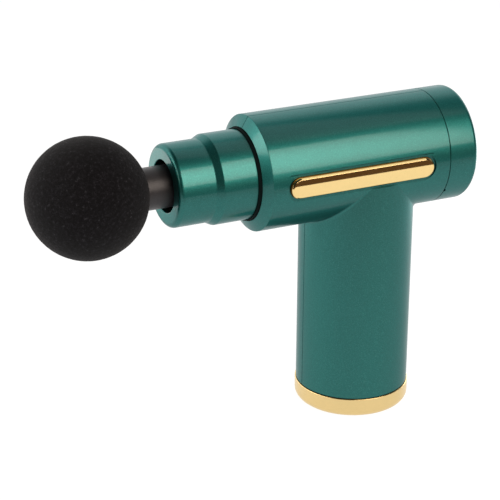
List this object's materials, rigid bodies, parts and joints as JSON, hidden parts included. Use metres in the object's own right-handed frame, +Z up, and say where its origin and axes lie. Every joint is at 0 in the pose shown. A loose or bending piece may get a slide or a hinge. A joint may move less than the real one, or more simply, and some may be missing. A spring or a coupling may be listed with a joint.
{
  "type": "massage gun",
  "caption": "T-shaped handheld percussion massager with a round foam head on a stepped nose, a bar-trimmed cylindrical barrel and a round handle on a flat base.",
  "frame": {"origin": "centre of the base's bottom face, on the handle's axis", "axes": "+Z up along the handle, -X towards the massage head along the barrel, +Y to the gun's right side"},
  "size_m": [0.1761, 0.0468, 0.1259],
  "materials": {
    "housing_paint": "pearl paint, satin",
    "gold_trim": "polished gold plating",
    "seal_rubber": "matte",
    "ball_foam": "closed-cell foam, matte, mottled",
    "stem_plastic": "satin",
    "bush_polymer": "satin",
    "machined_aluminium": "machined",
    "bearing_steel": "ground",
    "drive_steel": "turned",
    "core_steel": "laminated",
    "magnet": "nickel plated",
    "copper_winding": "enamelled copper",
    "screw_steel": "black oxide",
    "inner_plastic": "moulded",
    "cell_can": "shrink wrapped",
    "nickel_strip": "bright",
    "circuit_board": "solder mask",
    "board_parts": "moulded",
    "port_metal": "drawn steel",
    "wire_jacket": "silicone",
    "button_plastic": "satin paint",
    "light_lens": "frosted, translucent"
  },
  "bodies": {
    "housing": {"base_cap": "gold_trim", "base_gasket": "seal_rubber", "base_pad": "seal_rubber", "base_screws": "screw_steel", "battery_cells": "cell_can", "battery_cover": "inner_plastic", "battery_tray": "inner_plastic", "board_components": "board_parts", "button_board": "circuit_board", "button_cable": "wire_jacket", "button_light_ring": "light_lens", "button_switch": "inner_plastic", "cell_links": "nickel_strip", "charge_port": "port_metal", "charge_port_tongue": "board_parts", "damper_ring": "seal_rubber", "drive_frame": "machined_aluminium", "front_guide_bush": "bush_polymer", "indicator_lights": "light_lens", "left_badge": "gold_trim", "left_shell": "housing_paint", "lower_bearing_balls": "bearing_steel", "lower_bearing_outer": "bearing_steel", "main_board": "circuit_board", "motor_base": "machined_aluminium", "motor_leads": "wire_jacket", "motor_screws": "screw_steel", "nose_seal": "seal_rubber", "nose_sleeve": "housing_paint", "rear_cap": "housing_paint", "rear_guide_bush": "bush_polymer", "right_badge": "gold_trim", "right_shell": "housing_paint", "side_screws": "screw_steel", "stator_coils": "copper_winding", "stator_core": "core_steel", "upper_bearing_balls": "bearing_steel", "upper_bearing_outer": "bearing_steel"},
    "rotor": {"motor_shaft": "drive_steel", "rotor_bell": "drive_steel", "rotor_magnets": "magnet", "crank_disc": "drive_steel", "crank_pin": "drive_steel", "crank_screw": "screw_steel", "upper_bearing_inner": "bearing_steel", "lower_bearing_inner": "bearing_steel", "rod_bearing_inner": "bearing_steel"},
    "rod": {"connecting_rod": "machined_aluminium", "rod_bearing_outer_ring": "bearing_steel", "rod_bearing_balls": "bearing_steel", "wrist_pin": "drive_steel"},
    "piston": {"piston": "machined_aluminium"},
    "massage_head": {"head_stem": "stem_plastic", "stem_rings": "seal_rubber", "foam_ball": "ball_foam"},
    "button": {"power_button": "button_plastic", "switch_plunger": "inner_plastic"}
  },
  "joints": [
    {"name": "motor_spin", "type": "hinge", "parent": "housing", "child": "rotor", "pos_m": [0, 0, 0.095], "axis": [0, 0, 1], "continuous": true},
    {"name": "rod_pivot", "type": "hinge", "parent": "rotor", "child": "rod", "pos_m": [0.0035, 0, 0.103], "axis": [0, 0, 1], "continuous": true},
    {"name": "head_stroke", "type": "slide", "parent": "housing", "child": "piston", "axis": [-1, 0, 0], "range_m": [0, 0.007]},
    {"name": "head_release", "type": "slide", "parent": "piston", "child": "massage_head", "axis": [-1, 0, 0], "range_m": [0, 0.03]},
    {"name": "button_press", "type": "slide", "parent": "housing", "child": "button", "axis": [-1, 0, 0], "range_m": [0, 0.0008], "stiffness_N_per_m": 800, "springref_m": -0.0004}
  ],
  "couplings": [
    {"joint": "rod_pivot", "follows": "motor_spin", "ratio": -1}
  ]
}
